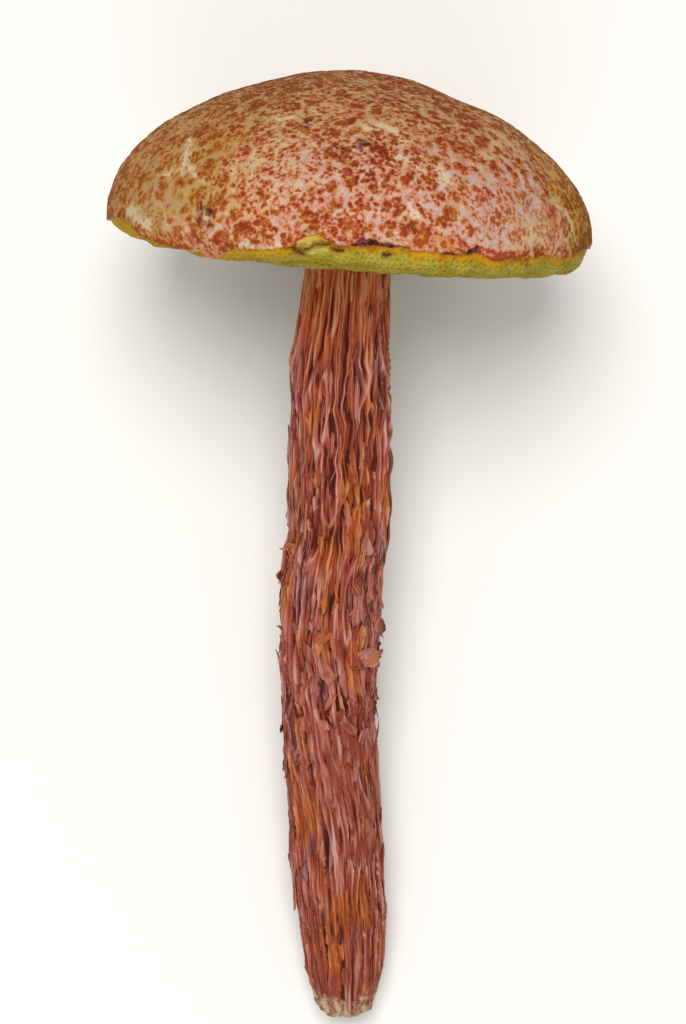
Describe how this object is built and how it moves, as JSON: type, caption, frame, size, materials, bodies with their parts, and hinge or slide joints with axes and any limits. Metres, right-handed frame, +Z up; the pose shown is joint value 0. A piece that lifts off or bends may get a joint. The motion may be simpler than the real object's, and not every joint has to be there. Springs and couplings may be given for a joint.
{
  "type": "bolete",
  "caption": "Picked wild bolete lying on its side: domed cap with scaly skin, yellow pore layer beneath it and a long shaggy fibrous stem.",
  "frame": {"origin": "middle of the bounding box's base, on the surface that the picked bolete lies on", "axes": "+Z up; the stem runs back along -Y to its base and the cap is at the +Y end, raised by the cap's rim; +X is across the cap"},
  "size_m": [0.0998, 0.196, 0.0976],
  "materials": {
    "cap_skin": "dry suede-like skin, red-brown scales over a cream and yellow ground",
    "pores": "soft matt sponge of fine pores, yellow by the margin and olive below",
    "stem_fibre": "matt red-brown fibres with raised ridges and torn shreds"
  },
  "bodies": {
    "root": {"cap": "cap_skin", "pore_layer": "pores", "stem": "stem_fibre"}
  },
  "joints": []
}
